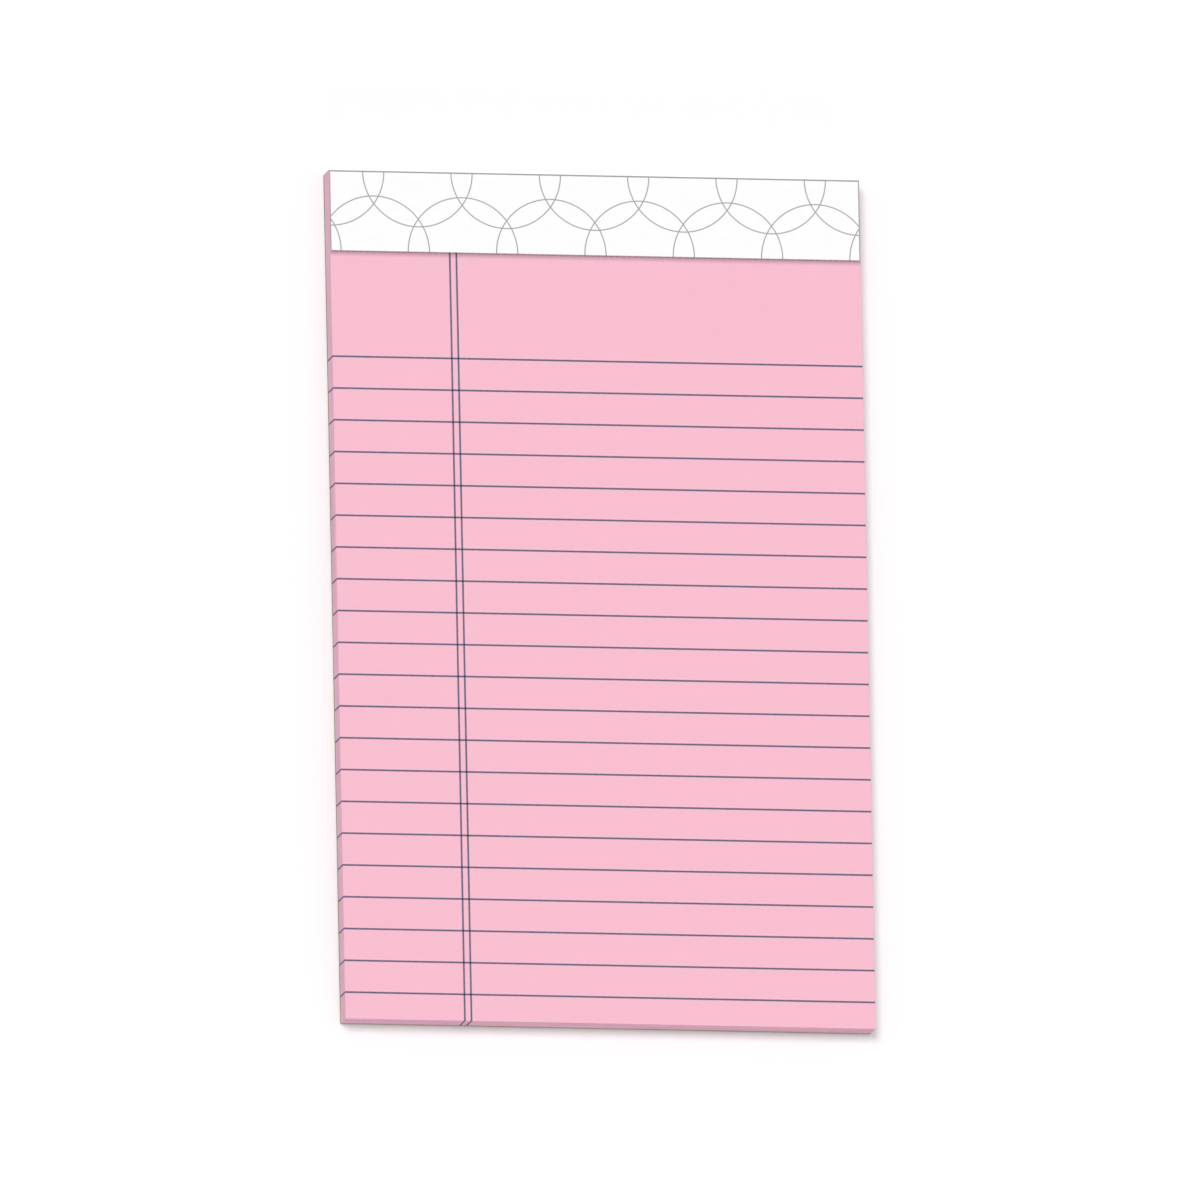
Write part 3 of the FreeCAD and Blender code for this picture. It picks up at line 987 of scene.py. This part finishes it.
def board_face(nodes, fibre):
    """Clouds of two browns, then pale fibres, then a few dark flecks."""
    clouds = noise(nodes, place_mm(nodes), BOARD_CLOUDS_PER_MM, detail=4, roughness=0.6)
    flecks = noise(nodes, place_mm(nodes, FLECK_STRETCH), FLECKS_PER_MM, detail=1)
    fibre_share = nodes.ramp(fibre, start=0.3, end=0.75, high=0.55)
    fleck_share = nodes.ramp(flecks, start=0.7, end=0.76, high=0.7)
    colour = nodes.mix(spread(nodes, clouds, low=0.0, high=1.0), BOARD_DARK, BOARD_PALE)
    colour = nodes.mix(fibre_share, colour, FIBRE_COLOUR)
    return nodes.mix(fleck_share, colour, FLECK_COLOUR)


print("Dark board in linear numbers:", *np.round(BOARD_DARK[:3], 3))

# %% The layers at the board's cut edge
LAYERS_PER_MM = 1.5
LAYER_STRETCH = (0.12, 0.12, 5.0)


def layers(nodes):
    """How light each layer is: a cloudy pattern, long along the board and thin through it."""
    flat = noise(nodes, place_mm(nodes, LAYER_STRETCH), LAYERS_PER_MM, detail=4, roughness=0.6)
    return spread(nodes, flat, low=0.64, high=0.94, reach=0.15)


layer_thick = 1 / (LAYERS_PER_MM * LAYER_STRETCH[2])
print("A layer is about", round(layer_thick, 2), "mm thick")

# %% The chipboard material
BOARD_FIBRES_PER_MM = 1.8
BOARD_FIBRE_STRETCH = (0.5, 1.6, 6.0)
BOARD_RELIEF = 0.02 * MM


def chipboard():
    """The board's face, and its layers where the surface stands upright."""
    material = bpy.data.materials.new("pressed_chipboard")
    nodes = Nodes(material)
    along_fibres = place_mm(nodes, BOARD_FIBRE_STRETCH)
    fibre = noise(nodes, along_fibres, BOARD_FIBRES_PER_MM, detail=5, roughness=0.7)
    level_part = split(nodes, nodes.add("ShaderNodeTexCoord").outputs["Normal"])[2]
    upright = nodes.math("SUBTRACT", 1.0, nodes.math("ABSOLUTE", level_part))
    colour = nodes.tint(board_face(nodes, fibre), layers(nodes), upright)
    relief = bump(nodes, fibre, BOARD_RELIEF, strength=0.6)
    nodes.shade({"Base Color": colour, "Roughness": 0.92, "Specular IOR Level": 0.2})
    nodes.shade({"Normal": relief})
    return material


def dress(node, material):
    """Puts the material into each of the solid's slots."""
    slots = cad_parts[node].material_slots
    for slot in slots:
        slot.material = material
    print(node, "has", len(slots), "slot with", material.name)


dress("backing_board", chipboard())

# %% The wire material
WIRE_DARK = linear(165, 167, 170)
WIRE_PALE = linear(205, 207, 210)
DRAWN_LINES_PER_MM = 2.0
DRAWN_LINE_STRETCH = (0.3, 8.0, 8.0)


def drawn_wire():
    """Bare steel with fine drawing lines along the crown, in its colour and its roughness."""
    material = bpy.data.materials.new("drawn_wire")
    nodes = Nodes(material)
    lines = noise(nodes, place_mm(nodes, DRAWN_LINE_STRETCH), DRAWN_LINES_PER_MM, detail=3)
    colour = nodes.mix(spread(nodes, lines, low=0.0, high=1.0), WIRE_DARK, WIRE_PALE)
    roughness = spread(nodes, lines, low=0.28, high=0.42, reach=0.3)
    nodes.shade({"Base Color": colour, "Metallic": 1.0, "Roughness": roughness})
    return material


dress("wire_stitches", drawn_wire())

# %% [markdown]
# ## Floor and light
#
# The pad lies on a white floor. An even white world, a lamp high on the left and a low one at the
# foot light it, at a level at which a colour comes out about as it is written. The low lamp only
# keeps the foot side from going dull, because light that grazes the page adds almost nothing to it.
#
# The floor has to look pure white to the camera and still hold the pad's soft shadow. So it is a
# plain pale surface, and only for what the camera sees it adds the little that it lacks to reach
# white. It lies a hair below the tape, because two faces in one plane would flicker.

# %% What the camera sees, also in a mirror
WHITE = (1.0, 1.0, 1.0, 1.0)


def is_seen(nodes):
    """1 for a ray from the camera, or by way of gloss or glass, and 0 for light on the pad."""
    ray = nodes.add("ShaderNodeLightPath").outputs
    mirrored = nodes.math("MAXIMUM", ray["Is Glossy Ray"], ray["Is Transmission Ray"])
    return nodes.math("MAXIMUM", ray["Is Camera Ray"], mirrored)


# %% The floor
FLOOR_GREY = 0.9
FLOOR_LIFT = 0.11
FLOOR_HALF = 3.0
FLOOR_LEVEL = -0.02 * MM


def white_floor():
    """A matt pale surface that glows by FLOOR_LIFT for what the camera sees."""
    material = bpy.data.materials.new("white_floor")
    nodes = Nodes(material)
    lift = nodes.math("MULTIPLY", is_seen(nodes), FLOOR_LIFT)
    nodes.shade({"Base Color": (FLOOR_GREY, FLOOR_GREY, FLOOR_GREY, 1.0), "Roughness": 1.0})
    nodes.shade({"Specular IOR Level": 0.0, "Emission Color": WHITE, "Emission Strength": lift})
    return material


floor_points = np.array([[-1, -1, 0], [1, -1, 0], [1, 1, 0], [-1, 1, 0]]) * FLOOR_HALF
floor_points[:, 2] = FLOOR_LEVEL
floor = mesh_object("floor", floor_points, [[0, 1, 2, 3]])
floor.data.materials.append(white_floor())
floor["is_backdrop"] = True

# %% The world
WORLD_LIGHT = 0.53

world = bpy.data.worlds.new("studio")
bpy.context.scene.world = world
nodes = Nodes(world, "Background")
level_for_ray = nodes.math("MULTIPLY_ADD", is_seen(nodes), 1 - WORLD_LIGHT, WORLD_LIGHT)
nodes.shade({"Color": WHITE, "Strength": level_for_ray})
print("The world lights the pad at", WORLD_LIGHT)

# %% The lamps
# Strength, direction towards the lamp, and how many degrees wide it looks.
LAMPS = {
    "window_light": (1.5, (-0.3, 0.2, 1.0), 20),
    "fill_light": (1.07, (0.1, -1.0, 0.08), 30),
}

lit = WORLD_LIGHT
for name, (strength, direction, width) in LAMPS.items():
    towards = Vector(direction).normalized()
    lamp = bpy.data.lights.new(name, "SUN")
    lamp.energy = strength
    lamp.angle = np.radians(width)
    lamp_object = bpy.data.objects.new(name, lamp)
    lamp_object.location = towards
    lamp_object.rotation_euler = towards.to_track_quat("Z", "Y").to_euler()
    bpy.context.scene.collection.objects.link(lamp_object)
    lit += strength / np.pi * towards.z
print(f"A white face that looks up renders at {lit:.2f}")

# %% [markdown]
# ## The camera
#
# The photograph looks down on the pad with no perspective, and a little of the left and foot sides
# shows. A camera without perspective, tilted the same way, gives that view. A tilted view squeezes
# the page along the tilt, so its corners are no longer quite square. The picture's axes are set
# half-way, so that each page edge leans by the same small angle.

# %% The camera's direction
TILT = np.radians(16)

to_camera = Vector((-np.sin(TILT), -np.sin(TILT), np.sqrt(2) * np.cos(TILT))) / np.sqrt(2)
level_across = Vector((1, -1, 0)) / np.sqrt(2)
uphill = to_camera.cross(level_across)
picture_right = (level_across + uphill) / np.sqrt(2)
picture_up = (uphill - level_across) / np.sqrt(2)
lean = np.degrees(np.arctan2(picture_up.x, picture_up.y))
print(f"Tilted {np.degrees(TILT):.0f} degrees, a page edge leans by {abs(lean):.1f} degrees")

# %% The camera's place and frame
FRAME_PX = 1200
PX_PER_MM = 4.203
OUTLINE_MIDDLE_PX = Vector((599.5, 602.0))
# A leaning page needs more room than an upright one, so it is shown at this share of its size.
OUTLINE_SHARE = 0.993

# The page's edges run at 45 degrees to the tilt, which shortens them to this share.
edge_share = np.sqrt((1 + np.cos(TILT) ** 2) / 2)
px_per_mm = PX_PER_MM / edge_share * OUTLINE_SHARE
middle = (Vector(solid_box[0]) + Vector(solid_box[1])) / 2
off_middle = (OUTLINE_MIDDLE_PX - Vector((FRAME_PX, FRAME_PX)) / 2) / px_per_mm * MM
aim = middle - off_middle.x * picture_right + off_middle.y * picture_up

camera = bpy.data.cameras.new("view_from_above")
camera.type = "ORTHO"
camera.ortho_scale = FRAME_PX / px_per_mm * MM
camera_object = bpy.data.objects.new("view_from_above", camera)
bpy.context.scene.collection.objects.link(camera_object)
bpy.context.scene.camera = camera_object
turn = Matrix((picture_right, picture_up, to_camera)).transposed().to_4x4()
camera_object.matrix_world = Matrix.Translation(aim + to_camera) @ turn
bpy.context.scene.view_settings.view_transform = "Standard"
print(f"The frame is {camera.ortho_scale / MM:.1f} mm wide")

# %% [markdown]
# ## Sizes at the end
#
# The dressed pad is meant to stay inside the box of the solids. Its box minus theirs is printed.

# %% Print the dressed box minus the solid box
dressed_box = [list(corner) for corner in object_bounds()]
over = np.array(dressed_box) - np.array(solid_box)
print("Dressed box minus solid box, mm:", (over / MM).round(3).tolist())
